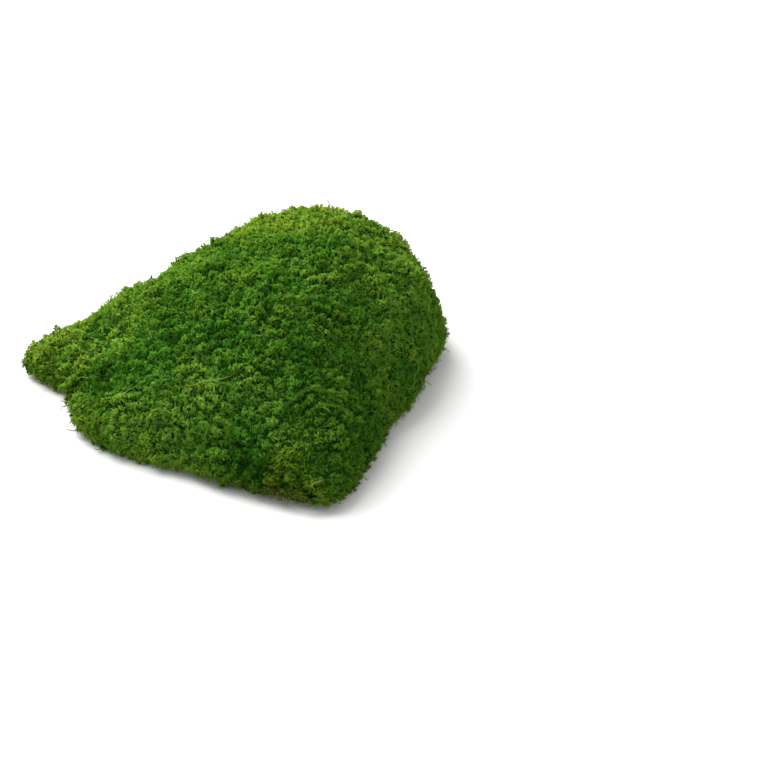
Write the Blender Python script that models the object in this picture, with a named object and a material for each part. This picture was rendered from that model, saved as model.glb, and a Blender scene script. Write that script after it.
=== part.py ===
"""Moss clump: one springy cushion of tangled moss, cut off flat where it left the ground.

Metres, +Z up. The origin is under the middle of the cushion's box, on the surface it rests on. -X points
to the narrow tip, +Y to the steep side, and -Y to the long gentle slope that ends in the low lobe.
"""

import math

import bmesh
import bpy
import numpy as np

# The rim is measured from the middle, and the crown stands a little off it
MIDDLE_X = 0.0316
MIDDLE_Y = 0.0130
CROWN_HEIGHT = 0.101

# The rim is widest a little above the ground, and rolls under to the cut
RIM_HEIGHT = 0.010
ROLL_UNDER = 0.030

# The rim's reach from the middle at bearings in degrees, anticlockwise from +X
RIM_REACH = (
    (5, 0.098),
    (30, 0.121),
    (60, 0.124),
    (90, 0.120),
    (115, 0.110),
    (140, 0.103),
    (160, 0.117),
    (179, 0.169),
    (193, 0.146),
    (210, 0.148),
    (232, 0.132),
    (262, 0.132),
    (283, 0.149),
    (300, 0.117),
    (325, 0.092),
)

# How the cushion falls from middle to rim at bearings in degrees: 0.5 is round, 1 a long even slope
FALL = (
    (0, 0.50),
    (90, 0.50),
    (145, 0.72),
    (178, 0.98),
    (225, 0.66),
    (283, 0.66),
    (325, 0.56),
)

# The cushion is higher on one side of the middle, at this bearing, and lower on the other
LEAN = 1.3
LEAN_BEARING = 65

# Soft swells all over the surface: length of each wave, its bearing in degrees and its start in turns
SWELL_HEIGHT = 0.0010
SWELLS = (
    (0.061, 20, 0.10),
    (0.047, 75, 0.35),
    (0.052, 130, 0.60),
    (0.039, 165, 0.85),
    (0.034, 50, 0.20),
    (0.029, 105, 0.70),
)

MESH_FINENESS = 5
CUT_SNAP = 0.0002

MOSS_GREEN = (0.047, 0.110, 0.012)
MOSS_ROUGHNESS = 0.9


def around(bearing, knots):
    """A smooth closed curve through the knots, read at a bearing.

    It is cubic between two knots, and its slope at each knot is that of the line between its neighbours.
    """
    at = np.array([knot[0] for knot in knots], float)
    value = np.array([knot[1] for knot in knots], float)
    before = (np.roll(at, 1) - at) % 360 - 360
    after = (np.roll(at, -1) - at) % 360
    slope = (np.roll(value, -1) - np.roll(value, 1)) / (after - before)
    bearing = np.mod(bearing - at[0], 360) + at[0]
    this = np.searchsorted(at, bearing, side="right") - 1
    following = (this + 1) % len(at)
    width = after[this]
    u = (bearing - at[this]) / width
    return (
        value[this] * (1 + 2 * u) * (1 - u) ** 2
        + slope[this] * width * u * (1 - u) ** 2
        + value[following] * u**2 * (3 - 2 * u)
        + slope[following] * width * u**2 * (u - 1)
    )


def swell(x, y):
    """Height of the soft swells over a place on the ground: a sum of sine waves."""
    total = np.zeros_like(x)
    for length, bearing, start in SWELLS:
        across = x * math.cos(math.radians(bearing)) + y * math.sin(math.radians(bearing))
        total += np.sin(2 * math.pi * (across / length + start))
    return SWELL_HEIGHT * total


def cushion(direction):
    """Moves the points of a unit sphere onto the cushion.

    A point's bearing picks the reach and the fall. The sine of its angle from the top is its share of the
    reach, and a power of the cosine gives its height, more on the side that the cushion leans up to.
    Below the rim the surface carries on down and inwards.
    """
    x, y, up = direction.T
    bearing = np.degrees(np.arctan2(y, x))
    outward = around(bearing, RIM_REACH) * np.hypot(x, y)
    along_x = outward * np.cos(np.radians(bearing))
    along_y = outward * np.sin(np.radians(bearing))
    lean = math.radians(LEAN_BEARING)
    leaning = 1 + LEAN * (along_x * math.cos(lean) + along_y * math.sin(lean))
    rise = np.clip(up, 0, 1) ** (2 * around(bearing, FALL))
    height = RIM_HEIGHT + (CROWN_HEIGHT - RIM_HEIGHT) * rise * leaning + ROLL_UNDER * np.clip(up, -1, 0)
    plan_x = MIDDLE_X + along_x
    plan_y = MIDDLE_Y + along_y
    return np.column_stack([plan_x, plan_y, height + swell(plan_x, plan_y) * rise])


def moss_material():
    material = bpy.data.materials.new("moss")
    material.use_nodes = True
    shader = material.node_tree.nodes["Principled BSDF"]
    shader.inputs["Base Color"].default_value = (*MOSS_GREEN, 1)
    shader.inputs["Roughness"].default_value = MOSS_ROUGHNESS
    shader.inputs["Metallic"].default_value = 0
    material.diffuse_color = (*MOSS_GREEN, 1)
    return material


def moss_clump(collection):
    """A sphere of even triangles, moved onto the cushion and cut off flat at the ground."""
    work = bmesh.new()
    bmesh.ops.create_icosphere(work, subdivisions=MESH_FINENESS, radius=1)
    sphere = np.array([vertex.co.normalized() for vertex in work.verts])
    for vertex, place in zip(work.verts, cushion(sphere)):
        vertex.co = place
    bmesh.ops.bisect_plane(
        work,
        geom=[*work.verts, *work.edges, *work.faces],
        dist=CUT_SNAP,
        plane_co=(0, 0, 0),
        plane_no=(0, 0, 1),
        use_snap_center=True,
        clear_inner=True,
    )
    cut = [edge for edge in work.edges if edge.is_boundary]
    bmesh.ops.contextual_create(work, geom=cut)
    bmesh.ops.recalc_face_normals(work, faces=work.faces)
    mesh = bpy.data.meshes.new("moss_clump")
    work.to_mesh(mesh)
    work.free()
    mesh.shade_smooth()
    mesh.materials.append(moss_material())
    clump = bpy.data.objects.new("moss_clump", mesh)
    collection.objects.link(clump)
    return clump


def main():
    for leftover in list(bpy.data.objects):
        bpy.data.objects.remove(leftover, do_unlink=True)
    parts = bpy.data.collections.new("moss_clump")
    bpy.context.scene.collection.children.link(parts)
    moss_clump(parts)


if __name__ == "__main__":
    main()
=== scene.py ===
"""Moss clump: the looks of one springy cushion of moss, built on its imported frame.

The cushion's outer surface is a function of two parameters, a bearing round its middle and a slope angle
down from its top. Every piece grows from that surface: the felt just under it, tufts of short curled
shoots, longer shoots that creep over them or rise out of them, a few long stems, a fringe round the rim,
and the brown fibres of the cut underside.
"""

import math
from typing import NamedTuple

import bpy
import numpy as np
from mathutils import Matrix, Vector


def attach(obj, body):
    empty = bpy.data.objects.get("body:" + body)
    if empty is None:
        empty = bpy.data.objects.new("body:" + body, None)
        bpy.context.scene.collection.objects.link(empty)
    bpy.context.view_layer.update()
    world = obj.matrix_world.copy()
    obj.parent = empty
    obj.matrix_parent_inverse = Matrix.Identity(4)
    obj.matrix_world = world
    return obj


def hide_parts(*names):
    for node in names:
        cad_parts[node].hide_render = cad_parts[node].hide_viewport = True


bl_info = {
    "name": "Moss Clump",
    "version": (1, 0, 0),
    "blender": (4, 5, 0),
    "location": "View3D > Sidebar > Moss",
    "description": "Builds a clump of moss: felt, tufts, curled shoots, stems, fringe and cut underside",
    "category": "Add Mesh",
}

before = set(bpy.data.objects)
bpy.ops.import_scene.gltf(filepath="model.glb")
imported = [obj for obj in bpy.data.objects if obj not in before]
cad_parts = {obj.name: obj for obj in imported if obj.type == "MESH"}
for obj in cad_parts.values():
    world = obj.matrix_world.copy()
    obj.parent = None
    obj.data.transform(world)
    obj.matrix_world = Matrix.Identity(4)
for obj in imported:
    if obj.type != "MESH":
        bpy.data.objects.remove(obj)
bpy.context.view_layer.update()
CLUMP = "moss_clump"
BODY = "root"
MM = 0.001
TURN = 2 * math.pi
GOLDEN_TURN = math.pi * (3 - math.sqrt(5))

# The cushion's own shape, as the solid has it: its middle, and how high its crown and its widest rim are
MIDDLE_X = 0.0316
MIDDLE_Y = 0.0130
CROWN_HEIGHT = 0.101
RIM_HEIGHT = 0.010
ROLL_UNDER = 0.030
FOOT_SLOPE = math.acos(-RIM_HEIGHT / ROLL_UNDER)

# The rim's reach from the middle at bearings in degrees, anticlockwise from +X
RIM_REACH = (
    (5, 0.098),
    (30, 0.121),
    (60, 0.124),
    (90, 0.120),
    (115, 0.110),
    (140, 0.103),
    (160, 0.117),
    (179, 0.169),
    (193, 0.146),
    (210, 0.148),
    (232, 0.132),
    (262, 0.132),
    (283, 0.149),
    (300, 0.117),
    (325, 0.092),
)

# How the cushion falls from middle to rim at bearings in degrees: 0.5 is round, 1 a long even slope
FALL = (
    (0, 0.50),
    (90, 0.50),
    (145, 0.72),
    (178, 0.98),
    (225, 0.66),
    (283, 0.66),
    (325, 0.56),
)

# It is higher on one side of the middle, at this bearing, and lower on the other
LEAN = 1.3
LEAN_BEARING = 65

# Soft swells all over the surface: length of each wave, its bearing in degrees and its start in turns
SWELL_HEIGHT = 0.0010
SWELLS = (
    (0.061, 20, 0.10),
    (0.047, 75, 0.35),
    (0.052, 130, 0.60),
    (0.039, 165, 0.85),
    (0.034, 50, 0.20),
    (0.029, 105, 0.70),
)

# Sums of sine waves through space: the number of waves, their mean length in metres and their seed
LUMPS = (24, 0.0070, 1)
MOUNDS = (24, 0.0120, 2)
HEAVES = (16, 0.0480, 3)
COMBS = ((12, 0.030, 4), (12, 0.030, 5), (12, 0.030, 6))
TINT_RIPPLES = ((16, 0.060, 7), (16, 0.022, 8))
LIGHT_RIPPLES = (16, 0.045, 9)
SHADES = (16, 0.0300, 12)
LENGTHS_VARY = 0.12

# The lumps that the moss grows in: how high they stand, and how far the whole is set into the cushion
PILLOW_TOP = 2.0
PILLOW_MEAN = 0.8
LUMP_HEIGHT = 1.3 * MM
MOUND_HEIGHT = 2.0 * MM
HEAVE_HEIGHT = 1.0 * MM
GROWN_IN = 0.3 * MM

# How much further out the moss reaches than the cushion, at bearings in degrees: round the rim, and round
# the shoulder halfway up to the crown
RIM_TRIM = (
    (10, -1.5 * MM),
    (30, -3.0 * MM),
    (60, 0.0 * MM),
    (150, 0.0 * MM),
    (180, 2.5 * MM),
    (190, -2.5 * MM),
    (208, -3.0 * MM),
    (224, 2.5 * MM),
    (240, -5.0 * MM),
    (250, -5.0 * MM),
    (262, -2.0 * MM),
    (277, -7.5 * MM),
    (290, -0.5 * MM),
    (316, -5.0 * MM),
    (345, -4.0 * MM),
)
SHOULDER_TRIM = (
    (0, -1.0 * MM),
    (32, -3.5 * MM),
    (56, 4.0 * MM),
    (80, 0.5 * MM),
    (105, 1.5 * MM),
    (135, 1.5 * MM),
    (156, 6.0 * MM),
    (177, -4.0 * MM),
    (200, 0.0 * MM),
    (260, 0.0 * MM),
    (320, -1.0 * MM),
)

# Small steps for the normals, in radians, and the slope angles nearest the top that they may start from
CUSHION_STEP = (0.01, 1e-4)
GROWN_STEP = (0.006, 1e-3)

# The grid that the surface's area is measured on, and the slope angle that it starts at
AREA_BEARINGS = 361
AREA_SLOPES = 181
AREA_START = 0.002

# A strand's middle line is summed in this many steps
PATH_STEPS = 40

# The strand map: half the width of a strand on it, its clear edge, and how far a strand's foot rises
MAP_HALF = 0.006
MAP_EDGE = 0.02
MAP_FOOT = 0.02

# How far a strand's shading normals turn from its own to those of the lump that it stands on
FACING_SHARE = 0.88

# Finishes: roughness and gloss
STRAND_FINISH = (0.65, 0.0)
FELT_FINISH = (0.95, 0.1)
FLOOR_FINISH = (0.8, 0.2)

# The strand tints: where green has all turned to yellow, which is where yellow starts to turn to straw
STRAND_MATERIAL = "moss strands"
STRAW_FROM = 0.5


def around(bearing, knots):
    """A smooth closed curve through the knots, read at a bearing.

    It is cubic between two knots, and its slope at each knot is that of the line between its neighbours.
    """
    at = np.array([knot[0] for knot in knots], float)
    value = np.array([knot[1] for knot in knots], float)
    before = (np.roll(at, 1) - at) % 360 - 360
    after = (np.roll(at, -1) - at) % 360
    slope = (np.roll(value, -1) - np.roll(value, 1)) / (after - before)
    bearing = np.mod(bearing - at[0], 360) + at[0]
    this = np.searchsorted(at, bearing, side="right") - 1
    following = (this + 1) % len(at)
    width = after[this]
    u = (bearing - at[this]) / width
    return (
        value[this] * (1 + 2 * u) * (1 - u) ** 2
        + slope[this] * width * u * (1 - u) ** 2
        + value[following] * u**2 * (3 - 2 * u)
        + slope[following] * width * u**2 * (u - 1)
    )


def waves(places, waves_of):
    """Sum of sine waves over the ground: each has a length, a bearing in degrees and a start in turns."""
    total = np.zeros(places.shape[:-1])
    for length, bearing, start in waves_of:
        turned = math.radians(bearing)
        across = places[..., 0] * math.cos(turned) + places[..., 1] * math.sin(turned)
        total += np.sin(TURN * (across / length + start))
    return total


def cushion(bearing, slope):
    """Points of the cushion's outer surface, from bearings in degrees and slope angles in radians.

    The sine of the slope angle is the point's share of the rim's reach, and a power of its cosine gives
    the height, more on the side that the cushion leans up to. Past the rim it carries on down and inwards.
    """
    outward = around(bearing, RIM_REACH) * np.sin(slope)
    turned = np.radians(bearing)
    along = np.stack([outward * np.cos(turned), outward * np.sin(turned)], axis=-1)
    lean = math.radians(LEAN_BEARING)
    leaning = 1 + LEAN * (along @ np.array([math.cos(lean), math.sin(lean)]))
    rise = np.clip(np.cos(slope), 0, 1) ** (2 * around(bearing, FALL))
    plan = along + np.array([MIDDLE_X, MIDDLE_Y])
    height = RIM_HEIGHT + (CROWN_HEIGHT - RIM_HEIGHT) * rise * leaning
    height = height + ROLL_UNDER * np.clip(np.cos(slope), -1, 0)
    height = height + SWELL_HEIGHT * waves(plan, SWELLS) * rise
    return np.concatenate([plan, height[..., None]], axis=-1)


def unit(vectors):
    """Vectors in the same directions, of length one."""
    return vectors / np.maximum(np.linalg.norm(vectors, axis=-1, keepdims=True), 1e-12)


def with_normals(surface, bearing, slope, steps):
    """Points of a surface with their outward normals, from small steps along both parameters."""
    step, least = steps
    turned = math.degrees(step)
    points = surface(bearing, slope)
    round_step = surface(bearing + turned, slope) - surface(bearing - turned, slope)
    down_step = surface(bearing, slope + step) - surface(bearing, np.maximum(slope - step, least))
    return points, unit(np.cross(down_step, round_step))


def cushion_frame(bearing, slope):
    """Points of the cushion's smooth surface with their outward normals."""
    return with_normals(cushion, bearing, slope, CUSHION_STEP)


def ripples(points, kind):
    """Sum of sine waves that run every way through space, scaled to be about one in size.

    A kind gives the number of waves, their mean length in metres and the seed of their directions.
    """
    count, length, seed = kind
    rng = np.random.default_rng(seed)
    direction = unit(rng.normal(0, 1, (count, 3)))
    lengths = length * np.exp(rng.normal(0, LENGTHS_VARY, count))
    phase = points @ (direction / lengths[:, None]).T + rng.random(count)
    return np.sin(TURN * phase).sum(axis=-1) * math.sqrt(2 / count)


def pillows(points, kind):
    """The size of a sum of ripples, less its mean: rounded lumps with sharp creases between them."""
    return np.minimum(np.abs(ripples(points, kind)), PILLOW_TOP) - PILLOW_MEAN


def relief(points, bearing, slope):
    """How far the moss stands out from the cushion's surface at a place, in metres.

    It is lumps, mounds and heaves, and two trims: one round the rim, one round the shoulder above it.
    """
    return (
        LUMP_HEIGHT * pillows(points, LUMPS)
        + MOUND_HEIGHT * pillows(points, MOUNDS)
        + HEAVE_HEIGHT * ripples(points, HEAVES)
        + around(bearing, RIM_TRIM) * np.sin(slope) ** 4
        + around(bearing, SHOULDER_TRIM) * np.sin(2 * slope) ** 2
        - GROWN_IN
    )


def grown(bearing, slope):
    """Points of the lumpy surface that the moss reaches: the cushion, moved out by the relief."""
    points, normals = cushion_frame(bearing, slope)
    return points + normals * relief(points, bearing, slope)[..., None]


def grown_frame(bearing, slope):
    """Points of the lumpy surface with their outward normals."""
    return with_normals(grown, bearing, slope, GROWN_STEP)


def square_to(along, wanted):
    """The direction nearest to a wanted one that is square to another."""
    return unit(wanted - np.sum(wanted * along, axis=-1, keepdims=True) * along)


def spread_places(count, rng, jitter):
    """Bearings and slope angles of places that lie evenly over the surface.

    The slope angle follows the area passed on the way down, and the bearing the area passed round that
    row. The two fractions are those of a sunflower's seeds, moved by a random share of their spacing.
    """
    bearings = np.linspace(0, 360, AREA_BEARINGS)
    slopes = np.linspace(AREA_START, FOOT_SLOPE, AREA_SLOPES)
    grid = cushion(*np.meshgrid(bearings, slopes))
    one = grid[1:, 1:] - grid[:-1, :-1]
    other = grid[1:, :-1] - grid[:-1, 1:]
    area = np.linalg.norm(np.cross(one, other), axis=-1) / 2
    down = np.concatenate([[0], np.cumsum(area.sum(axis=1))]) / area.sum()
    index = np.arange(count)
    share_down = (index + 0.5 + rng.normal(0, jitter, count) * math.sqrt(count)) / count
    share_down = np.abs(share_down)
    share_down = np.where(share_down > 1, 2 - share_down, share_down)
    slope = np.interp(share_down, down, slopes)
    row = np.clip(np.searchsorted(slopes, slope) - 1, 0, len(slopes) - 2)
    passed = np.cumsum(area, axis=1) / area.sum(axis=1, keepdims=True)
    share_round = (index * GOLDEN_TURN / TURN + rng.normal(0, jitter, count) / math.sqrt(count)) % 1
    cell = np.searchsorted((passed + np.arange(len(passed))[:, None]).ravel(), share_round + row)
    column = np.clip(cell - row * area.shape[1], 0, area.shape[1] - 1)
    return bearings[column] + rng.random(count), slope, area.sum()


def mesh_object(name, points, triangles, uv, material, facing=None):
    """A mesh object at the origin from point, triangle and corner arrays, with its map named OFBake.

    Where facing gives a direction for each point, the shading normal is a mix of that and the mesh's own,
    so that thin strands are lit much as the lump of moss that they stand on.
    """
    mesh = bpy.data.meshes.new(name)
    corners = len(triangles) * 3
    mesh.vertices.add(len(points))
    mesh.vertices.foreach_set("co", np.ascontiguousarray(points, np.float32).ravel())
    mesh.loops.add(corners)
    mesh.loops.foreach_set("vertex_index", np.ascontiguousarray(triangles, np.int32).ravel())
    mesh.polygons.add(len(triangles))
    mesh.polygons.foreach_set("loop_start", np.arange(0, corners, 3, dtype=np.int32))
    mesh.polygons.foreach_set("use_smooth", np.full(len(triangles), True))
    layer = mesh.uv_layers.new(name="OFBake")
    layer.uv.foreach_set("vector", np.ascontiguousarray(uv, np.float32).ravel())
    mesh.update(calc_edges=True)
    if facing is not None:
        own = np.empty(len(points) * 3, np.float32)
        mesh.vertex_normals.foreach_get("vector", own)
        mixed = unit(own.reshape(-1, 3) * (1 - FACING_SHARE) + facing * FACING_SHARE)
        kept = mesh.attributes.new("custom_normal", "FLOAT_VECTOR", "POINT")
        kept.data.foreach_set("vector", np.ascontiguousarray(mixed, np.float32).ravel())
    mesh.materials.append(material)
    piece = bpy.data.objects.new(name, mesh)
    bpy.context.scene.collection.objects.link(piece)
    return piece


def above_ground(points, soft):
    """Squeezes what would reach below the ground into the last few millimetres above it.

    Under the height soft, the height falls off as an exponential that never reaches the ground.
    """
    low = points[..., 2] < soft
    squeezed = soft * np.exp((points[..., 2] - soft) / soft)
    points[..., 2] = np.where(low, squeezed, points[..., 2])
    return points


def rise_of(bend, bend_power):
    """How far a strand reaches along its first direction, as a share of its length."""
    share = (np.arange(PATH_STEPS) + 0.5) / PATH_STEPS
    return np.cumsum(np.cos(bend[:, None] * share**bend_power), axis=1).max(axis=1) / PATH_STEPS


def strand_paths(root, along, side, length, bend, bend_power, wave, shares):
    """Middle lines of curved strands, at shares of their length, with two directions square to each.

    A strand starts along one direction and turns towards another by bend times share to a power. The
    middle line is the running sum of that heading. A sine wave moves it a little square to both.
    """
    share = (np.arange(PATH_STEPS) + 0.5) / PATH_STEPS
    angle = bend[:, None] * share**bend_power
    start = np.zeros((len(root), 1))
    forward = np.concatenate([start, np.cumsum(np.cos(angle), axis=1)], axis=1) / PATH_STEPS
    sideways = np.concatenate([start, np.cumsum(np.sin(angle), axis=1)], axis=1) / PATH_STEPS
    at = np.rint(shares * PATH_STEPS).astype(int)
    square = np.cross(along, side)
    wobble = wave[:, 0:1] * np.sin(TURN * wave[:, 1:2] * shares + wave[:, 2:3])
    wobble = wobble * shares
    middle = (
        root[:, None]
        + (length[:, None] * forward[:, at])[..., None] * along[:, None]
        + (length[:, None] * sideways[:, at])[..., None] * side[:, None]
        + wobble[..., None] * square[:, None]
    )
    turned = bend[:, None] * shares**bend_power
    normal = -np.sin(turned)[..., None] * along[:, None] + np.cos(turned)[..., None] * side[:, None]
    return middle, normal, np.broadcast_to(square[:, None], normal.shape)


def strand_mesh(middle, normal, square, radius, twist, tint, map_up, ground):
    """Points, triangles and map of closed three-sided strands, each from its rings to one tip point.

    A ring's corner lies at radius times (cosine, sine) of its turn in the two square directions. On the
    map a strand lies at its tint across and its light upwards, so colour is read from those two.
    """
    count, rings = middle.shape[:2]
    turn = twist[..., None] + np.arange(3) * TURN / 3
    corner = (
        middle[:, :, None]
        + (radius[..., None] * np.cos(turn))[..., None] * normal[:, :, None]
        + (radius[..., None] * np.sin(turn))[..., None] * square[:, :, None]
    )
    body = corner[:, :-1].reshape(count, -1, 3)
    points = np.concatenate([body, middle[:, -1:]], axis=1)
    points = above_ground(points, ground)
    ring = np.arange(rings - 2)[:, None] * 3
    this = np.arange(3)
    following = (this + 1) % 3
    low, high = ring + this, ring + 3 + this
    low_next, high_next = ring + following, ring + 3 + following
    lower = np.stack([low, low_next, high_next], axis=-1).reshape(-1, 3)
    upper = np.stack([low, high_next, high], axis=-1).reshape(-1, 3)
    last = (rings - 2) * 3
    tip = np.stack([last + this, last + following, np.full(3, last + 3)], axis=-1)
    foot = np.array([[2, 1, 0]])
    pattern = np.concatenate([lower, upper, tip, foot])
    triangles = pattern[None] + (np.arange(count) * points.shape[1])[:, None, None]
    bottom = np.broadcast_to(map_up[:, :-2, None], (count, rings - 2, 3)).reshape(count, -1)
    top = np.broadcast_to(map_up[:, 1:-1, None], (count, rings - 2, 3)).reshape(count, -1)
    end = np.broadcast_to(map_up[:, -2:-1], (count, 3))
    end_top = np.broadcast_to(map_up[:, -1:], (count, 3))
    start = map_up[:, :1]
    up = np.concatenate(
        [
            np.stack([bottom, bottom, top], axis=-1),
            np.stack([bottom, top, top], axis=-1),
            np.stack([end, end, end_top], axis=-1),
            np.stack([start, start, start + MAP_FOOT], axis=-1),
        ],
        axis=1,
    )
    spans = (rings - 2) * 3
    offset = np.concatenate(
        [
            np.tile([-MAP_HALF, MAP_HALF, MAP_HALF], (spans, 1)),
            np.tile([-MAP_HALF, MAP_HALF, -MAP_HALF], (spans, 1)),
            np.tile([-MAP_HALF, MAP_HALF, 0], (3, 1)),
            np.array([[-MAP_HALF, MAP_HALF, 0]]),
        ]
    )
    across = np.clip(tint, MAP_EDGE, 1 - MAP_EDGE)[:, None, None] + offset[None]
    uv = np.stack([across, up], axis=-1)
    return points.reshape(-1, 3), triangles.reshape(-1, 3), uv.reshape(-1, 2)


def opaque(colour):
    """A colour with full alpha."""
    return (*colour, 1.0)


def ramp(nodes, links, value, stops):
    """The colour that a value picks from stops, each a position and a colour."""
    node = nodes.new("ShaderNodeValToRGB")
    elements = node.color_ramp.elements
    while len(elements) < len(stops):
        elements.new(0.5)
    for element, (position, colour) in zip(elements, stops):
        element.position = position
        element.color = opaque(colour)
    links.new(value, node.inputs["Fac"])
    return node.outputs["Color"]


def share_between(nodes, links, value, low, high):
    """How far a value is on the way from low to high, from nought to one."""
    node = nodes.new("ShaderNodeMapRange")
    node.inputs["From Min"].default_value = low
    node.inputs["From Max"].default_value = high
    links.new(value, node.inputs["Value"])
    return node.outputs["Result"]


def mix_of(nodes, links, share, first, second, blend="MIX"):
    """A mix of two colours. The share and the colours are constants or the outputs of nodes."""
    node = nodes.new("ShaderNodeMix")
    node.data_type = "RGBA"
    node.blend_type = blend
    for name, value in (("Factor", share), ("A", first), ("B", second)):
        if isinstance(value, bpy.types.NodeSocket):
            links.new(value, node.inputs[name])
        else:
            node.inputs[name].default_value = value
    return node.outputs["Result"]


def principled(name, finish):
    """A new material with its Principled shader, its nodes and its links."""
    material = bpy.data.materials.new(name)
    material.use_nodes = True
    tree = material.node_tree
    shader = tree.nodes["Principled BSDF"]
    shader.inputs["Roughness"].default_value = finish[0]
    shader.inputs["Specular IOR Level"].default_value = finish[1]
    return material, shader, tree.nodes, tree.links


def colour_stops(*colours):
    """Stops for a ramp from dark to light, at even steps."""
    return [(number / (len(colours) - 1), colour) for number, colour in enumerate(colours)]


def strand_material(look):
    """Colour from the strand's own map, where up is its light and across is its tint.

    Three ramps run from dark to light: green, yellow-green and straw. The tint mixes the first two up to
    STRAW_FROM, and from there to one it mixes in the third. Part of the light passes through.
    """
    material, shader, nodes, links = principled(STRAND_MATERIAL, STRAND_FINISH)
    own = nodes.new("ShaderNodeUVMap")
    own.uv_map = "OFBake"
    split = nodes.new("ShaderNodeSeparateXYZ")
    links.new(own.outputs["UV"], split.inputs["Vector"])
    # The light up the map carries the moss's painted light and shade as well as its own tone
    tint, light = split.outputs["X"], split.outputs["Y"]
    tints = (
        (look.deep_green, look.middle_green, look.light_green),
        (look.deep_yellow, look.middle_yellow, look.light_yellow),
        (look.deep_straw, look.middle_straw, look.light_straw),
    )
    green, yellow, straw = (ramp(nodes, links, light, colour_stops(*colours)) for colours in tints)
    yellowed = share_between(nodes, links, tint, 0, STRAW_FROM)
    dried = share_between(nodes, links, tint, STRAW_FROM, 1)
    colour = mix_of(nodes, links, dried, mix_of(nodes, links, yellowed, green, yellow), straw)
    links.new(colour, shader.inputs["Base Color"])
    through = nodes.new("ShaderNodeBsdfTranslucent")
    links.new(colour, through.inputs["Color"])
    both = nodes.new("ShaderNodeMixShader")
    both.inputs["Fac"].default_value = look.thinness
    links.new(shader.outputs["BSDF"], both.inputs[1])
    links.new(through.outputs["BSDF"], both.inputs[2])
    links.new(both.outputs["Shader"], nodes["Material Output"].inputs["Surface"])
    return material


def moss_material(look):
    """The one material that all strands share, made when it is first asked for."""
    return bpy.data.materials.get(STRAND_MATERIAL) or strand_material(look)


# Patches of tint: places on the ground, their radius in metres, and how far each moves the tint
TINT_PATCHES = (
    (-0.125, 0.010, 0.030, 0.20),
    (-0.060, 0.045, 0.030, 0.16),
    (0.000, 0.070, 0.030, 0.22),
    (0.050, 0.085, 0.030, 0.18),
    (0.115, 0.078, 0.020, 0.14),
    (0.115, 0.005, 0.016, -0.07),
    (-0.088, -0.070, 0.010, 0.20),
    (-0.020, -0.107, 0.014, 0.06),
    (0.045, -0.132, 0.012, 0.14),
    (0.030, -0.126, 0.006, 0.50),
    (0.017, -0.106, 0.016, -0.14),
    (-0.020, -0.036, 0.040, -0.05),
    (0.078, -0.050, 0.035, -0.04),
)

# The tint elsewhere, how much yellower it is near the ground, where the lumps have painted light (and
# greener in their painted shade), and in ripples
BASE_TINT = 0.12
LOW_TINT = 0.15
LOW_HEIGHT = 10.0 * MM
TINT_WITH_LIGHT = 0.40
TINT_RIPPLE = 0.025

# Patches of painted light and shade, partly the moss's own lighter or darker tone: places on the ground,
# their radius, and how far each moves the light. The smallest are painted shade in the hollows between
# the lumps
LIGHT_PATCHES = (
    (-0.125, 0.000, 0.035, 0.08),
    (-0.078, -0.001, 0.014, 0.36),
    (-0.043, -0.026, 0.020, -0.34),
    (-0.005, -0.045, 0.020, -0.12),
    (-0.060, 0.040, 0.035, 0.06),
    (0.020, 0.090, 0.050, 0.14),
    (0.110, 0.048, 0.035, 0.29),
    (0.024, -0.015, 0.024, -0.16),
    (0.088, -0.020, 0.018, 0.23),
    (-0.036, -0.072, 0.024, 0.51),
    (-0.006, -0.087, 0.012, 0.10),
    (-0.072, -0.055, 0.012, -0.26),
    (0.025, -0.087, 0.011, 0.40),
    (0.014, -0.108, 0.010, -0.24),
    (-0.068, -0.084, 0.012, 0.54),
    (0.085, -0.075, 0.045, -0.10),
    (0.052, -0.064, 0.014, -0.08),
    # The rest are painted shade in small hollows between the lumps
    (-0.101, -0.029, 0.005, -1.30),
    (-0.082, -0.040, 0.004, -0.40),
    (-0.037, -0.047, 0.004, -0.40),
    (-0.001, -0.068, 0.004, -0.45),
    (0.019, -0.066, 0.003, -0.40),
    (0.027, -0.077, 0.004, -0.60),
    (0.039, -0.047, 0.003, -0.30),
    (0.056, -0.037, 0.003, -0.30),
    (0.054, 0.004, 0.004, -0.40),
)

# The light elsewhere, and how much of it comes with ripples and shades, and with lumps and mounds as
# painted light on their tops
BASE_LIGHT = 0.55
RIPPLE_LIGHT = 0.08
SHADE_LIGHT = 0.06
LUMP_PAINTED_LIGHT = 0.11
MOUND_PAINTED_LIGHT = 0.09

# Painted shade: the dark creases between mounds, and the darker gaps where a crease crosses one between
# lumps
CREASE_WIDTH = 0.26
CREASE_PAINTED_SHADE = 0.30
CREASE_FROM = 0.4
GAP_WIDTH = 0.55
GAP_PAINTED_SHADE = 0.24


def patches(points, places):
    """Sum of patches over the ground: each fades from its middle as a bell curve."""
    total = np.zeros(points.shape[:-1])
    for x, y, radius, amount in places:
        away = (points[..., 0] - x) ** 2 + (points[..., 1] - y) ** 2
        total = total + amount * np.exp(-away / (2 * radius**2))
    return total


def lumps_painted_light(points):
    """Painted light and shade at a place: lighter on top of each lump, with painted shade in the creases
    and gaps.
    """
    light = RIPPLE_LIGHT * ripples(points, LIGHT_RIPPLES) + SHADE_LIGHT * ripples(points, SHADES)
    # Painted light on the tops of the lumps and the mounds
    light = light + LUMP_PAINTED_LIGHT * pillows(points, LUMPS) + MOUND_PAINTED_LIGHT * pillows(points, MOUNDS)
    crease_shade = np.exp(-((ripples(points, MOUNDS) / CREASE_WIDTH) ** 2))
    gap_shade = crease_shade * np.exp(-((ripples(points, LUMPS) / GAP_WIDTH) ** 2))
    shaded = np.clip(ripples(points, SHADES) + CREASE_FROM, 0, 1)
    # Painted shade in the creases between mounds, darker still in the gaps between lumps
    return light - CREASE_PAINTED_SHADE * crease_shade * shaded - GAP_PAINTED_SHADE * gap_shade


# The light that this gives is partly painted light and shade, from the patches and the lumps
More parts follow.
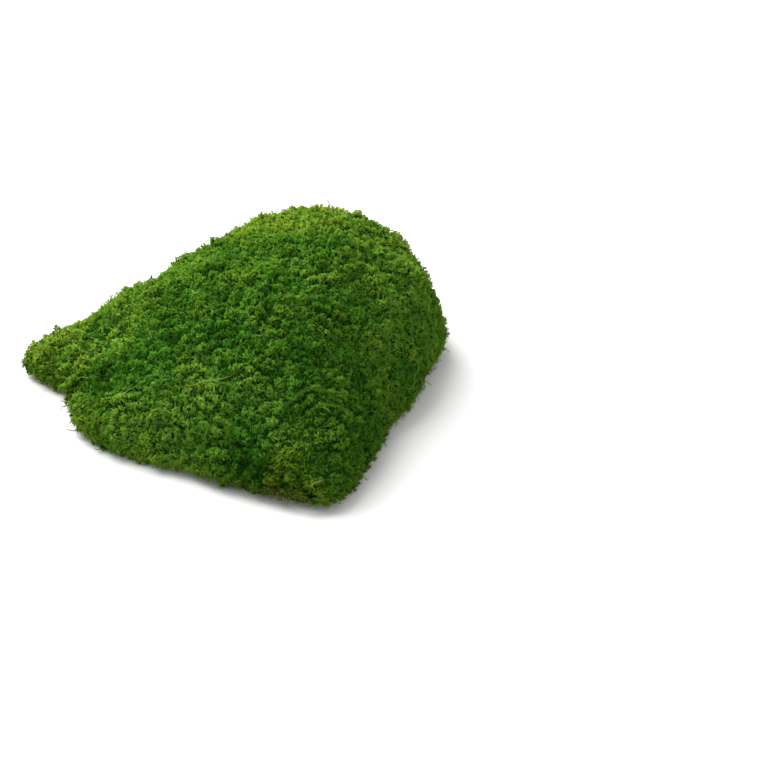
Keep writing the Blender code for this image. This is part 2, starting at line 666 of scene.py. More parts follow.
def painted_light_and_tint_at(points):
    """Light and tint of the moss at a place: how far up its colours it reaches, and how yellow it is."""
    lumps = lumps_painted_light(points)
    # The patches and the lumps add painted light and shade to the light
    light = BASE_LIGHT + patches(points, LIGHT_PATCHES) + lumps
    tint = BASE_TINT + patches(points, TINT_PATCHES) + LOW_TINT * np.exp(-points[..., 2] / LOW_HEIGHT)
    for kind in TINT_RIPPLES:
        tint = tint + TINT_RIPPLE * ripples(points, kind)
    # The tint turns yellower with the lumps' painted light, and greener with their painted shade
    return light, tint + TINT_WITH_LIGHT * lumps


def finish_piece(piece, replaces_clump=False):
    """Fixes a piece to the clump's body and the solid that it stands in for."""
    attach(piece, BODY)
    if replaces_clump:
        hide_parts(CLUMP)


def length_property(name, description, default):
    """A length in metres."""
    return bpy.props.FloatProperty(name=name, description=description, default=default, unit="LENGTH")


class MossSizes(bpy.types.PropertyGroup):
    """Sizes of the moss that grows from the cushion's surface."""

    shoot_spacing: length_property(
        "Shoot spacing", "Distance between the roots of neighbouring short shoots", 1.17 * MM
    )
    shoot_length: length_property(
        "Shoot length", "Length of a short shoot from its root in the felt to its tip", 6.0 * MM
    )
    shoot_radius: length_property("Shoot radius", "Radius of a short shoot at its widest", 0.55 * MM)
    stem_radius: length_property("Stem radius", "Radius of a long stem at its root", 0.50 * MM)
    fringe_count: bpy.props.IntProperty(
        name="Fringe shoots",
        description="Fine shoots that stand out round the rim",
        default=1200,
        min=0,
    )
    fringe_length: length_property("Fringe length", "Length of a shoot of the rim's fringe", 5.5 * MM)
    fibre_count: bpy.props.IntProperty(
        name="Fibres",
        description="Brown fibres that lie against the cut underside",
        default=1200,
        min=0,
    )
    fibre_length: length_property("Fibre length", "Length of a fibre of the cut underside", 16.0 * MM)
    curl_count: bpy.props.IntProperty(
        name="Curled shoots",
        description="Thin shoots that creep over the tufts or stand out of them",
        default=2000,
        min=0,
    )
    curl_length: length_property("Curl length", "Length of a curled shoot along its curve", 9.0 * MM)
    curl_radius: length_property("Curl radius", "Radius of a curled shoot at its widest", 0.30 * MM)
    felt_depth: length_property("Felt depth", "How far the dark felt lies under the tips", 1.5 * MM)


def colour_property(name, description, default):
    """A colour of three linear values."""
    return bpy.props.FloatVectorProperty(
        name=name, description=description, subtype="COLOR", default=default, min=0, max=1
    )


class MossColours(bpy.types.PropertyGroup):
    """Colours of the moss from dark to light, in three tints, and of the felt and the cut."""

    deep_green: colour_property("Deep green", "Green moss at its darkest", (0.009, 0.062, 0.002))
    middle_green: colour_property("Middle green", "Green moss", (0.104, 0.352, 0.030))
    light_green: colour_property("Light green", "Green moss at its lightest", (0.226, 0.505, 0.054))
    deep_yellow: colour_property("Deep yellow", "Yellow moss at its darkest", (0.028, 0.066, 0.002))
    middle_yellow: colour_property("Middle yellow", "Yellow moss", (0.254, 0.402, 0.031))
    light_yellow: colour_property("Light yellow", "Yellow moss at its lightest", (0.415, 0.575, 0.062))
    deep_straw: colour_property("Deep straw", "Dry moss at its darkest", (0.050, 0.030, 0.010))
    middle_straw: colour_property("Middle straw", "Dry moss", (0.260, 0.190, 0.060))
    light_straw: colour_property("Light straw", "Dry moss at its lightest", (0.620, 0.560, 0.220))
    felt: colour_property("Felt", "Felt between the shoots", (0.012, 0.060, 0.004))
    cut: colour_property("Cut", "Cut underside of the felt", (0.070, 0.050, 0.022))
    thinness: bpy.props.FloatProperty(
        name="Thinness",
        description="Share of the light that passes through a shoot instead of coming back",
        subtype="FACTOR",
        default=0.65,
        min=0,
        max=1,
    )


class StageColours(bpy.types.PropertyGroup):
    """Colour of the floor and strengths of the two lights."""

    floor: colour_property("Floor", "Colour of the plain floor", (0.66, 0.66, 0.65))
    surround: bpy.props.FloatProperty(
        name="Surround",
        description="Strength of the even white light from all round",
        default=0.92,
    )
    overhead: bpy.props.FloatProperty(
        name="Overhead",
        description="Power of the large soft light above",
        default=64.0,
        subtype="POWER",
    )


class MOSS_OT_stage(bpy.types.Operator):
    """Floor, soft lights and camera"""

    bl_idname = "moss.stage"
    bl_label = "Stage"

    def execute(self, context):
        look = context.scene.moss_stage
        make_floor(look)
        make_lights(context.scene, look)
        make_camera(context.scene)
        return {"FINISHED"}


class MOSS_OT_felt(bpy.types.Operator):
    """Dark felt under the green shoots, and its cut underside"""

    bl_idname = "moss.felt"
    bl_label = "Felt"

    def execute(self, context):
        make_felt(context.scene.moss_sizes, context.scene.moss_colours)
        return {"FINISHED"}


class MOSS_OT_tufts(bpy.types.Operator):
    """Tufts of short shoots all over the cushion"""

    bl_idname = "moss.tufts"
    bl_label = "Tufts"

    def execute(self, context):
        make_tufts(context.scene.moss_sizes, context.scene.moss_colours)
        return {"FINISHED"}


class MOSS_OT_curls(bpy.types.Operator):
    """Thin shoots that creep over the tufts or stand out of them"""

    bl_idname = "moss.curls"
    bl_label = "Curled shoots"

    def execute(self, context):
        make_curls(context.scene.moss_sizes, context.scene.moss_colours)
        return {"FINISHED"}


class MOSS_OT_stems(bpy.types.Operator):
    """Long thin stems that lie over the moss"""

    bl_idname = "moss.stems"
    bl_label = "Long stems"

    def execute(self, context):
        make_stems(context.scene.moss_sizes, context.scene.moss_colours)
        return {"FINISHED"}


class MOSS_OT_fringe(bpy.types.Operator):
    """Fine shoots round the rim, dry at a few spots"""

    bl_idname = "moss.fringe"
    bl_label = "Rim fringe"

    def execute(self, context):
        make_fringe(context.scene.moss_sizes, context.scene.moss_colours)
        return {"FINISHED"}


class MOSS_OT_fibres(bpy.types.Operator):
    """Brown fibres that lie against the cut underside"""

    bl_idname = "moss.fibres"
    bl_label = "Underside fibres"

    def execute(self, context):
        make_fibres(context.scene.moss_sizes, context.scene.moss_colours)
        return {"FINISHED"}


class MOSS_PT_panel(bpy.types.Panel):
    """The clump's sizes, and a button for each piece"""

    bl_label = "Moss clump"
    bl_space_type = "VIEW_3D"
    bl_region_type = "UI"
    bl_category = "Moss"

    def draw(self, context):
        scene = context.scene
        for group in (scene.moss_sizes, scene.moss_colours, scene.moss_stage):
            for name in group.__annotations__:
                self.layout.prop(group, name)
        for operator in OPERATORS:
            self.layout.operator(operator.bl_idname)


OPERATORS = (
    MOSS_OT_felt,
    MOSS_OT_tufts,
    MOSS_OT_curls,
    MOSS_OT_stems,
    MOSS_OT_fringe,
    MOSS_OT_fibres,
    MOSS_OT_stage,
)
CLASSES = (MossSizes, MossColours, StageColours, *OPERATORS, MOSS_PT_panel)


# The floor's half width, and the large light above: its place, what it points at and its width
FLOOR_HALF = 8.0
OVERHEAD_PLACE = (-0.75, 0.6, 1.3)
OVERHEAD_TARGET = (0, 0, 0.05)
OVERHEAD_WIDTH = 1.5

# The camera: its place, its angles in degrees, its lens and sensor in millimetres, and how far it sees
CAMERA_PLACE = (0.0983, -1.5018, 0.9833)
CAMERA_DOWN = 32.88
CAMERA_ROLL = 2.75
CAMERA_LENS = 128
CAMERA_SENSOR = 36
CAMERA_FAR = 50


def make_floor(look):
    """A wide flat square at the height that the clump rests on."""
    corners = ((-1, -1), (1, -1), (1, 1), (-1, 1))
    mesh = bpy.data.meshes.new("floor")
    mesh.from_pydata([(x * FLOOR_HALF, y * FLOOR_HALF, 0) for x, y in corners], [], [(0, 1, 2, 3)])
    material, shader, _, _ = principled("floor", FLOOR_FINISH)
    shader.inputs["Base Color"].default_value = opaque(look.floor)
    mesh.materials.append(material)
    floor = bpy.data.objects.new("floor", mesh)
    bpy.context.scene.collection.objects.link(floor)


def soft_light(name, place, target, width, power):
    """A square area light at a place, turned to face a target."""
    light = bpy.data.lights.new(name, "AREA")
    light.shape = "SQUARE"
    light.size = width
    light.energy = power
    lamp = bpy.data.objects.new(name, light)
    bpy.context.scene.collection.objects.link(lamp)
    towards = np.array(target) - np.array(place)
    lamp.rotation_euler = Vector(towards).to_track_quat("-Z", "Y").to_euler()
    lamp.location = place


def make_lights(scene, look):
    """Even white light from all round and one large soft light above, with colours shown as they are."""
    world = bpy.data.worlds.new("surround")
    world.use_nodes = True
    background = world.node_tree.nodes["Background"]
    background.inputs["Color"].default_value = (1, 1, 1, 1)
    background.inputs["Strength"].default_value = look.surround
    scene.world = world
    soft_light("overhead", OVERHEAD_PLACE, OVERHEAD_TARGET, OVERHEAD_WIDTH, look.overhead)
    scene.view_settings.view_transform = "Standard"
    scene.view_settings.look = "None"


def make_camera(scene):
    """The camera, which faces +Y, looks down and is rolled a little about its own axis."""
    camera = bpy.data.objects.new("camera", bpy.data.cameras.new("camera"))
    camera.data.lens = CAMERA_LENS
    camera.data.sensor_width = CAMERA_SENSOR
    camera.data.clip_end = CAMERA_FAR
    tilt = Matrix.Rotation(math.radians(90 - CAMERA_DOWN), 4, "X")
    roll = Matrix.Rotation(math.radians(CAMERA_ROLL), 4, "Z")
    camera.matrix_world = Matrix.Translation(CAMERA_PLACE) @ tilt @ roll
    scene.collection.objects.link(camera)
    scene.camera = camera


def ring_mesh(rings, first_point, last_point):
    """Points, triangles and map of a closed skin over rings, with a fan to one point at each end.

    On the map a corner lies at its share of the way round, and at its ring's share of the way down.
    """
    ring_count, round_count = rings.shape[:2]
    body = rings.reshape(-1, 3)
    points = np.concatenate([body, [first_point], [last_point]])
    map_down = (np.arange(ring_count) + 1) / (ring_count + 1)
    cells = np.meshgrid(np.arange(ring_count - 1), np.arange(round_count), indexing="ij")
    cells = np.stack(cells, axis=-1)
    corner = np.array([[[0, 0], [1, 0], [1, 1]], [[0, 0], [1, 1], [0, 1]]])
    places = (cells.reshape(-1, 1, 1, 2) + corner).reshape(-1, 3, 2)
    side = places[..., 0] * round_count + places[..., 1] % round_count
    side_map = np.stack([places[..., 1] / round_count, map_down[places[..., 0]]], axis=-1)
    rim = np.arange(round_count)
    following = (rim + 1) % round_count
    last = (ring_count - 1) * round_count
    first_fan = np.stack([np.full(round_count, len(body)), rim, following], axis=-1)
    last_fan = np.stack([np.full(round_count, len(body) + 1), last + following, last + rim], axis=-1)
    across = np.stack([rim + 0.5, rim, rim + 1], axis=-1) / round_count
    first_down = np.broadcast_to([0, map_down[0], map_down[0]], across.shape)
    last_down = np.broadcast_to([1, map_down[-1], map_down[-1]], across.shape)
    first_map = np.stack([across, first_down], axis=-1)
    last_map = np.stack([across[:, [0, 2, 1]], last_down], axis=-1)
    triangles = np.concatenate([side, first_fan, last_fan])
    return points, triangles, np.concatenate([side_map, first_map, last_map]).reshape(-1, 2)


# The felt: points round a ring, rings down its side and over the cut, the slope angles of its first ring
# and of the point on top, the height that its foot is squeezed into, and that of the cut
FELT_ROUND = 240
FELT_DOWN = 88
FELT_UNDER = 12
FELT_FIRST = 0.02
FELT_TOP = 0.01
FELT_GROUND = 2.0 * MM
CUT_HEIGHT = 0.6 * MM

# Flecks in the felt: the scale and detail of their noise, and what it multiplies the felt's colour by
FLECK_SCALE = 420
FLECK_DETAIL = 4
FLECKS = (
    (0.32, (0.3, 0.3, 0.3)),
    (0.50, (1.0, 1.0, 1.0)),
    (0.70, (2.2, 2.2, 2.2)),
)

# The heights between which the colour of the cut turns to that of the felt
CUT_BELOW = 1.0 * MM
FELT_ABOVE = 5.0 * MM


def make_felt(sizes, look):
    """The felt is the lumpy surface moved in along the cushion's normals by the felt depth.

    Rings run from the top down past the rim to the foot, and then inwards over the flat cut to its middle.
    """
    bearing = np.arange(FELT_ROUND) * 360 / FELT_ROUND
    slope = np.linspace(FELT_FIRST, FOOT_SLOPE, FELT_DOWN)
    bearings, slopes = np.meshgrid(bearing, slope)
    points, normals = cushion_frame(bearings, slopes)
    side = points + normals * (relief(points, bearings, slopes) - sizes.felt_depth)[..., None]
    side = above_ground(side, FELT_GROUND)
    side[-1, :, 2] = CUT_HEIGHT
    middle = np.array([MIDDLE_X, MIDDLE_Y, CUT_HEIGHT])
    share = np.linspace(1, 0, FELT_UNDER + 1)[1:-1]
    under = middle + (side[-1] - middle)[None] * share[:, None, None]
    top, top_normal = cushion_frame(np.zeros(1), np.full(1, FELT_TOP))
    crown = (top + top_normal * (relief(top, 0.0, 0.0) - sizes.felt_depth)[..., None])[0]
    points, triangles, uv = ring_mesh(np.concatenate([side, under]), crown, middle)
    piece = mesh_object("felt", points, triangles, uv, felt_material(look))
    finish_piece(piece, replaces_clump=True)


def felt_material(look):
    """Green felt mottled by a noise, and brown fibre where it is cut near the ground."""
    material, shader, nodes, links = principled("felt", FELT_FINISH)
    place = nodes.new("ShaderNodeTexCoord").outputs["Object"]
    noise = nodes.new("ShaderNodeTexNoise")
    noise.inputs["Scale"].default_value = FLECK_SCALE
    noise.inputs["Detail"].default_value = FLECK_DETAIL
    links.new(place, noise.inputs["Vector"])
    fleck = ramp(nodes, links, noise.outputs["Fac"], FLECKS)
    split = nodes.new("ShaderNodeSeparateXYZ")
    links.new(place, split.inputs["Vector"])
    uncut = share_between(nodes, links, split.outputs["Z"], CUT_BELOW, FELT_ABOVE)
    colour = mix_of(nodes, links, uncut, opaque(look.cut), opaque(look.felt))
    colour = mix_of(nodes, links, 1, colour, fleck, "MULTIPLY")
    links.new(colour, shader.inputs["Base Color"])
    return material


# The height that the feet of strands are squeezed into
FOOT_SOFT = 1.5 * MM

# The rings of a fine strand: shares of its length where they lie, and their radii
FINE_SHARES = np.array([0.0, 0.35, 0.60, 0.825, 1.0])
FINE_RADII = np.array([0.7, 1.0, 0.9, 0.7, 0.0])


class Habit(NamedTuple):
    """How the strands of one piece grow, and how much they differ.

    The rings lie at shares of the length. Their radii and lights are shares of the strand's own. Bend,
    tint and light have a mean and a spread, length and stoutness a spread about one, and limits are the
    least and the most. Where a piece takes tint and light from the moss at its place, these come on top.
    Bends are in radians and grow as a power of the share. The wobble is in metres and has at least the
    given turns along a strand. The twist is the turn from ring to ring. Below the ground height a strand
    is squeezed.
    """

    seed: int
    lights: np.ndarray
    length: float
    length_limits: tuple
    bend: tuple
    bend_limits: tuple
    bend_power: float
    wobble: float
    stout: float
    stout_limits: tuple
    tint: tuple
    light: tuple
    light_limits: tuple
    twist: float = 0.4
    wobble_turns: float = 0.5
    shares: np.ndarray = FINE_SHARES
    radii: np.ndarray = FINE_RADII
    ground: float = FOOT_SOFT


def lengths_and_bends(rng, habit, count, length):
    """Each strand's own length, and by how much it bends in all."""
    lengths = length * np.clip(rng.normal(1, habit.length, count), *habit.length_limits)
    return lengths, np.clip(rng.normal(*habit.bend, count), *habit.bend_limits)


def strand_rings(rng, habit, root, along, side, length, bend, radius):
    """Middle lines, square directions, radii and twists of strands, each with a wobble of its own."""
    count = len(root)
    wave = np.stack(
        [
            rng.normal(0, habit.wobble, count),
            habit.wobble_turns + rng.random(count),
            rng.random(count) * TURN,
        ],
        axis=-1,
    )
    path = strand_paths(root, along, side, length, bend, habit.bend_power, wave, habit.shares)
    stout = radius * np.clip(rng.normal(1, habit.stout, count), *habit.stout_limits)
    twist = rng.random(count)[:, None] * TURN + np.arange(len(habit.shares)) * habit.twist
    return *path, stout[:, None] * habit.radii, twist


def own_colours(rng, habit, light, tint):
    """Each strand's tint, and its light at each ring: those of its place, and a difference of its own."""
    tint = tint + rng.normal(*habit.tint, len(tint))
    light = np.clip(light + rng.normal(*habit.light, len(light)), *habit.light_limits)
    return tint, light[:, None] * habit.lights


def strand_piece(name, look, parts, ground, facing=None):
    """A finished piece of strands from their rings and colours, in the order of strand_mesh."""
    points, triangles, uv = strand_mesh(*parts, ground)
    if facing is not None:
        facing = np.repeat(facing, len(points) // len(facing), axis=0)
    finish_piece(mesh_object(name, points, triangles, uv, moss_material(look), facing))


TUFT_HABIT = Habit(
    seed=11,
    shares=np.array([0.35, 0.675, 1.0]),
    radii=np.array([0.8, 1.0, 0.0]),
    lights=np.array([0.82, 1.0, 1.0]),
    length=0.15,
    length_limits=(0.6, 1.5),
    bend=(math.radians(185), math.radians(32)),
    bend_limits=(0.9, 5.2),
    bend_power=1.8,
    wobble=0.35 * MM,
    wobble_turns=0.6,
    stout=0.18,
    stout_limits=(0.6, 1.5),
    twist=0.5,
    tint=(0, 0.05),
    light=(0, 0.045),
    light_limits=(0.04, 0.98),
)

# Short shoots: how far apart rows of evenly spread roots lie as a share of their spacing, how many places
# are spread first to learn the area, by what share of the spacing roots are moved, how the shoots lean,
# turn and vary in depth, how much lumps turn them downhill, and the bearing where the first sector starts
ROW_SHARE = 0.866
AREA_PLACES = 10
TUFT_JITTER = 0.3
TUFT_LEAN = 0.16
TUFT_TURN = 0.9
TUFT_DEPTH_SPREAD = 0.25 * MM
DOWNHILL = 0.3
SECTOR_START = 20
SECTORS = ("back_right", "back_left", "tip_end", "front_slope", "lobe_side")


def make_tufts(sizes, look):
    """Short shoots spread evenly over the lumpy surface. Each rises out of the felt and curls over.

    The top of each shoot's curl lies on the surface. Neighbours curl much the same way, because the way
    they curl follows wide ripples through space.
    """
    habit = TUFT_HABIT
    rng = np.random.default_rng(habit.seed)
    _, _, area = spread_places(AREA_PLACES, rng, 0.0)
    count = int(area / (ROW_SHARE * sizes.shoot_spacing**2))
    bearing, slope, _ = spread_places(count, rng, TUFT_JITTER)
    point, normal = grown_frame(bearing, slope)
    along = unit(normal + rng.normal(0, TUFT_LEAN, (count, 3)))
    under, plain = cushion_frame(bearing, slope)
    comb = np.stack([ripples(point, kind) for kind in COMBS], axis=-1)
    downhill = DOWNHILL * (normal - plain)
    side = square_to(along, downhill + comb + rng.normal(0, TUFT_TURN, (count, 3)))
    length, bend = lengths_and_bends(rng, habit, count, sizes.shoot_length)
    reach = length * rise_of(bend, habit.bend_power) + rng.normal(0, TUFT_DEPTH_SPREAD, count)
    root = point - along * reach[:, None]
    rings = strand_rings(rng, habit, root, along, side, length, bend, sizes.shoot_radius)
    colours = own_colours(rng, habit, *painted_light_and_tint_at(under))
    sector = np.argsort(np.argsort(np.mod(bearing - SECTOR_START, 360))) * len(SECTORS) // count
    for number, name in enumerate(SECTORS):
        mine = sector == number
        parts = [values[mine] for values in (*rings, *colours)]
        strand_piece(f"tufts_{name}", look, parts, habit.ground, normal[mine])


CURL_HABIT = Habit(
    seed=23,
    lights=0.85 + 0.15 * FINE_SHARES,
    length=0.25,
    length_limits=(0.5, 1.7),
    bend=(math.radians(190), math.radians(50)),
    bend_limits=(0.5, 5.5),
    bend_power=1.6,
    wobble=0.5 * MM,
    stout=0.2,
    stout_limits=(0.6, 1.5),
    tint=(0.10, 0.10),
    light=(0.05, 0.07),
    light_limits=(0.25, 1.0),
)

# Curled shoots: by what share of their spacing they are moved, how upright ones lean and turn, and how far
# they stand out at most. For creeping ones: their share of all, their first rise, the pull back to the
# moss, their share of the bend and how deep they start
CURL_JITTER = 0.5
CURL_LEAN = 0.35
CURL_TURN = 0.6
CURL_STANDS = 1.6 * MM
CREEPING_SHARE = 0.6
CREEPING_RISE = 0.35
CREEPING_PULL = 1.2
CREEPING_BEND = 0.55
CREEPING_DEPTH = 0.8 * MM


def make_curls(sizes, look):
    """Thin shoots: some rise a little out of the tufts and curl over, the others creep over the lumps."""
    habit = CURL_HABIT
    rng = np.random.default_rng(habit.seed)
    count = sizes.curl_count
    bearing, slope, _ = spread_places(count, rng, CURL_JITTER)
    point, normal = grown_frame(bearing, slope)
    creeping = rng.random(count) < CREEPING_SHARE
    creeps = creeping[:, None]
    flat = square_to(normal, rng.normal(0, 1, (count, 3)))
    upright = normal + rng.normal(0, CURL_LEAN, (count, 3))
    along = unit(np.where(creeps, flat + CREEPING_RISE * normal, upright))
    side = square_to(along, rng.normal(0, CURL_TURN, (count, 3)) - CREEPING_PULL * creeps * normal)
    length, bend = lengths_and_bends(rng, habit, count, sizes.curl_length)
    bend = np.where(creeping, CREEPING_BEND * bend, bend)
    reach = length * rise_of(bend, habit.bend_power) - rng.uniform(0, CURL_STANDS, count)
    depth = np.where(creeping, CREEPING_DEPTH, reach)
    root = point - depth[:, None] * np.where(creeps, normal, along)
    rings = strand_rings(rng, habit, root, along, side, length, bend, sizes.curl_radius)
    colours = own_colours(rng, habit, *painted_light_and_tint_at(cushion(bearing, slope)))
    strand_piece("curled_shoots", look, (*rings, *colours), habit.ground, normal)


# Long stems: bearing in degrees and slope angle at the start, the middle and the end, then tint and light
STEMS = (
    (359, 1.31, 349, 1.22, 344, 1.27, 0.46, 1.00),
    (345, 1.22, 349, 1.37, 338, 1.48, 0.46, 1.00),
    (234, 0.93, 243, 0.86, 252, 0.77, 0.75, 0.80),
    (229, 1.18, 232, 1.11, 235, 1.12, 0.60, 0.75),
    (280, 1.38, 281, 1.33, 284, 1.32, 0.80, 0.95),
    (309, 0.35, 318, 0.34, 327, 0.36, 0.72, 0.55),
    (308, 0.53, 311, 0.58, 315, 0.64, 0.66, 0.60),
    (196, 0.78, 193, 0.71, 195, 0.64, 0.40, 0.70),
    (221, 1.80, 222, 1.90, 224, 1.84, 0.98, 0.40),
    (40, 0.90, 50, 0.82, 60, 0.88, 0.50, 0.95),
    (95, 0.62, 105, 0.55, 112, 0.64, 0.50, 0.95),
    (130, 1.10, 140, 1.02, 150, 1.12, 0.60, 0.85),
    (70, 1.30, 80, 1.20, 88, 1.30, 0.75, 0.80),
    (15, 0.50, 30, 0.44, 38, 0.50, 0.55, 0.80),
    (165, 0.95, 172, 0.85, 170, 0.75, 0.60, 0.85),
)
STEM_SEED = 31
STEM_RINGS = 28

# A stem sways by this slope angle, this many times along it, and sideways by this much of the sway, which
# comes this many rings later
STEM_SWAY = 0.006
STEM_SWAY_TURNS = 2.3
STEM_SWAY_ROUND = 1.5
STEM_SWAY_LATER = 5

# How far a stem bridges hollows, rises halfway and dives at its ends, how it thins, varies and twists, and
# its light at the foot as a share of that at its tip
STEM_BRIDGES = 0.35
STEM_LIFT = 3.6 * MM
STEM_DIVE = 1.8 * MM
STEM_TAPER = 0.45
STEM_ROUGH = 0.15
STEM_TWIST = 2.0
STEM_FOOT_LIGHT = 0.75


def make_stems(sizes, look):
    """Long stems, each a curve over the lumpy surface whose two ends dive into it.

    Bearing and slope angle each follow a parabola through their three values. The stem stands above the
    surface by the root of half a sine wave along its length, less a little, so that it comes out of the
    moss and goes back.
    """
    knots = np.array(STEMS)
    rng = np.random.default_rng(STEM_SEED)
    count = len(knots)
    share = np.linspace(0, 1, STEM_RINGS)
    arch = np.sin(math.pi * share)
    weights = np.stack([(1 - share) * (1 - 2 * share), 4 * share * (1 - share), share * (2 * share - 1)])
    sway = STEM_SWAY * np.sin(TURN * (STEM_SWAY_TURNS * share + rng.random((count, 1)))) * arch
    bearing = knots[:, 0:6:2] @ weights
    slope = knots[:, 1:6:2] @ weights + sway
    bearing = bearing + np.degrees(STEM_SWAY_ROUND * np.roll(sway, STEM_SWAY_LATER, axis=1))
    points, normals = cushion_frame(bearing, slope)
    ground = relief(points, bearing, slope)
    lift = STEM_BRIDGES * ground.max(axis=1, keepdims=True) + (1 - STEM_BRIDGES) * ground
    lift = lift + STEM_LIFT * arch**0.5 - STEM_DIVE
    middle = points + normals * lift[..., None]
    heading = unit(np.gradient(middle, axis=1))
    normal = square_to(heading, normals)
    square = np.cross(heading, normal)
    rough = 1 + STEM_ROUGH * rng.normal(0, 1, (count, STEM_RINGS))
    radii = sizes.stem_radius * (1 - STEM_TAPER * share)[None] * rough
    radii[:, -1] = 0
    twist = np.broadcast_to(share * STEM_TWIST, (count, STEM_RINGS))
    map_up = knots[:, 7:8] * (STEM_FOOT_LIGHT + (1 - STEM_FOOT_LIGHT) * share[None])
    parts = (middle, normal, square, radii, twist, knots[:, 6], map_up)
    strand_piece("long_stems", look, parts, FOOT_SOFT)


# Where the rim's fringe is thickest: bearing, spread in degrees, share of the shoots there, tint, light
FRINGE_SPOTS = (
    (211, 4, 0.10, 0.50, 1.00),
    (218, 7, 0.08, 0.42, 1.00),
    (222, 3, 0.02, 0.95, 0.50),
    (182, 9, 0.06, 0.50, 0.75),
    (269, 6, 0.05, 0.95, 0.50),
    (281, 5, 0.03, 0.90, 0.55),
)
SPOT_COLOUR_SPREAD = 0.08

FRINGE_HABIT = Habit(
    seed=41,
    lights=0.8 + 0.2 * FINE_SHARES,
    length=0.3,
    length_limits=(0.4, 1.8),
    bend=(math.radians(120), math.radians(70)),
    bend_limits=(0.2, 5.5),
    bend_power=1.4,
    wobble=0.6 * MM,
    stout=0.25,
    stout_limits=(0.5, 1.7),
    tint=(0.30, 0.12),
    light=(0.72, 0.10),
    light_limits=(0.2, 1.0),
)

# The fringe's shoots: the mean and spread of the slope angles where they root, the least of those, how deep
# they root, how they lean and how much that is lifted, how they turn and droop, and their radius
FRINGE_SLOPE = (1.62, 0.14)
FRINGE_HIGHEST = 1.25
FRINGE_DEPTH = 3.5 * MM
FRINGE_LEAN = 0.45
FRINGE_LIFT = 0.15
FRINGE_TURN = 0.8
FRINGE_DROOP = 0.2
FRINGE_RADIUS = 0.26 * MM


def make_fringe(sizes, look):
    """Fine shoots round the rim, thickest at a few dry spots. Each leans outwards and curls."""
    habit = FRINGE_HABIT
    rng = np.random.default_rng(habit.seed)
    count = sizes.fringe_count
    bearing = rng.random(count) * 360
    tint = rng.normal(*habit.tint, count)
    light = rng.normal(*habit.light, count)
    pick = rng.random(count)
    passed = 0.0
    for at, spread, part, spot_tint, spot_light in FRINGE_SPOTS:
        here = (pick >= passed) & (pick < passed + part)
        bearing = np.where(here, rng.normal(at, spread, count), bearing)
        tint = np.where(here, rng.normal(spot_tint, SPOT_COLOUR_SPREAD, count), tint)
        light = np.where(here, rng.normal(spot_light, SPOT_COLOUR_SPREAD, count), light)
        passed += part
    slope = np.clip(rng.normal(*FRINGE_SLOPE, count), FRINGE_HIGHEST, FOOT_SLOPE)
    point, normal = cushion_frame(bearing, slope)
    along = unit(normal + rng.normal(0, FRINGE_LEAN, (count, 3)) + [0, 0, FRINGE_LIFT])
    side = square_to(along, rng.normal(0, FRINGE_TURN, (count, 3)) - [0, 0, FRINGE_DROOP])
    length, bend = lengths_and_bends(rng, habit, count, sizes.fringe_length)
    root = point - normal * FRINGE_DEPTH
    rings = strand_rings(rng, habit, root, along, side, length, bend, FRINGE_RADIUS)
    map_up = np.clip(light, *habit.light_limits)[:, None] * habit.lights
    strand_piece("rim_fringe", look, (*rings, tint, map_up), habit.ground, normal)


FIBRE_HABIT = Habit(
    seed=53,
    lights=0.8 + 0.2 * FINE_SHARES,
    length=0.35,
    length_limits=(0.3, 2.0),
    bend=(math.radians(80), math.radians(60)),
    bend_limits=(0.1, 4.0),
    bend_power=1.2,
    wobble=0.15 * MM,
    stout=0.3,
    stout_limits=(0.5, 1.8),
    twist=0.3,
    tint=(0.92, 0.06),
    light=(0.45, 0.2),
    light_limits=(0.1, 0.95),
    ground=0.25 * MM,
)

# Fibres: how far out they root as a share of the way to the foot, how strongly those at the edge point
# inwards, their height above the ground, the least share of it and the range above that, and their radius
FIBRE_EDGE = 0.93
FIBRE_INWARD = 1.6
FIBRE_HEIGHT = 0.40 * MM
FIBRE_LOWEST = 0.6
FIBRE_HEIGHTS_VARY = 0.8
FIBRE_RADIUS = 0.22 * MM


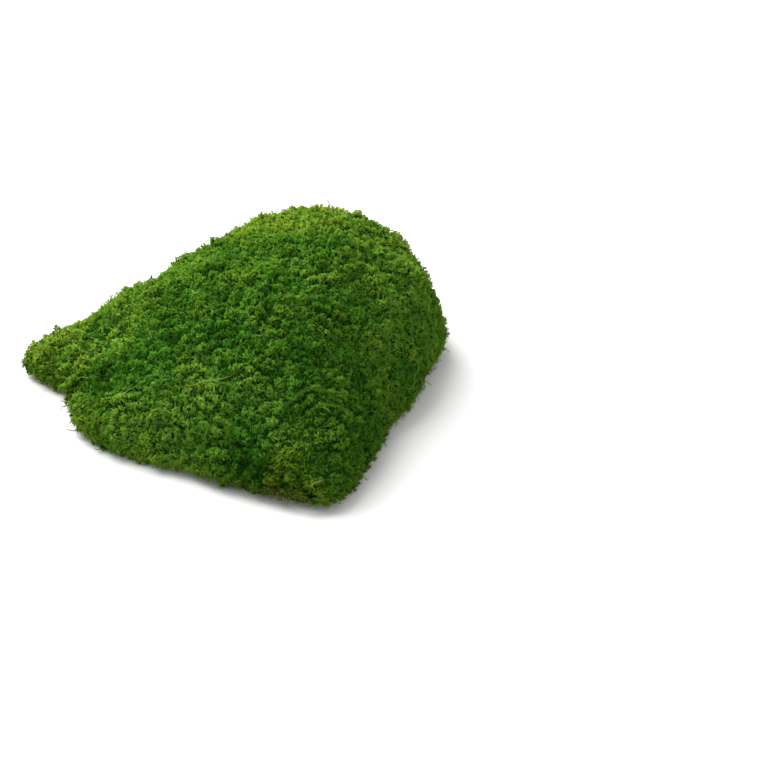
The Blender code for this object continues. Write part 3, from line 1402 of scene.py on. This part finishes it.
def make_fibres(sizes, look):
    """Brown fibres lying every way over the cut underside, between the ground and the cut face."""
    habit = FIBRE_HABIT
    rng = np.random.default_rng(habit.seed)
    count = sizes.fibre_count
    bearing = rng.random(count) * 360
    foot = cushion(bearing, np.full(count, FOOT_SLOPE))
    middle_point = np.array([MIDDLE_X, MIDDLE_Y, 0])
    share = FIBRE_EDGE * np.sqrt(rng.random(count))
    root = middle_point + (foot - middle_point) * share[:, None]
    root[:, 2] = FIBRE_HEIGHT * (FIBRE_LOWEST + FIBRE_HEIGHTS_VARY * rng.random(count))
    heading = rng.random(count) * TURN
    along = np.stack([np.cos(heading), np.sin(heading), np.zeros(count)], axis=-1)
    inward = unit((middle_point - root) * [1, 1, 0])
    along = unit(along + FIBRE_INWARD * share[:, None] ** 4 * inward)
    side = np.cross(along, [0, 0, 1.0]) * np.sign(rng.random((count, 1)) - 0.5)
    length, bend = lengths_and_bends(rng, habit, count, sizes.fibre_length)
    rings = strand_rings(rng, habit, root, along, side, length, bend, FIBRE_RADIUS)
    colours = own_colours(rng, habit, np.zeros(count), np.zeros(count))
    strand_piece("underside_fibres", look, (*rings, *colours), habit.ground)


def register():
    """Registers the classes, and gives each scene the clump's settings."""
    for moss_class in CLASSES:
        bpy.utils.register_class(moss_class)
    bpy.types.Scene.moss_sizes = bpy.props.PointerProperty(type=MossSizes)
    bpy.types.Scene.moss_colours = bpy.props.PointerProperty(type=MossColours)
    bpy.types.Scene.moss_stage = bpy.props.PointerProperty(type=StageColours)


def unregister():
    """Takes the settings and the classes away again."""
    del bpy.types.Scene.moss_stage
    del bpy.types.Scene.moss_colours
    del bpy.types.Scene.moss_sizes
    for moss_class in reversed(CLASSES):
        bpy.utils.unregister_class(moss_class)


def main():
    """Makes every piece and the stage in order."""
    register()
    bpy.ops.moss.felt()
    bpy.ops.moss.tufts()
    bpy.ops.moss.curls()
    bpy.ops.moss.stems()
    bpy.ops.moss.fringe()
    bpy.ops.moss.fibres()
    bpy.ops.moss.stage()


if __name__ == "__main__":
    main()
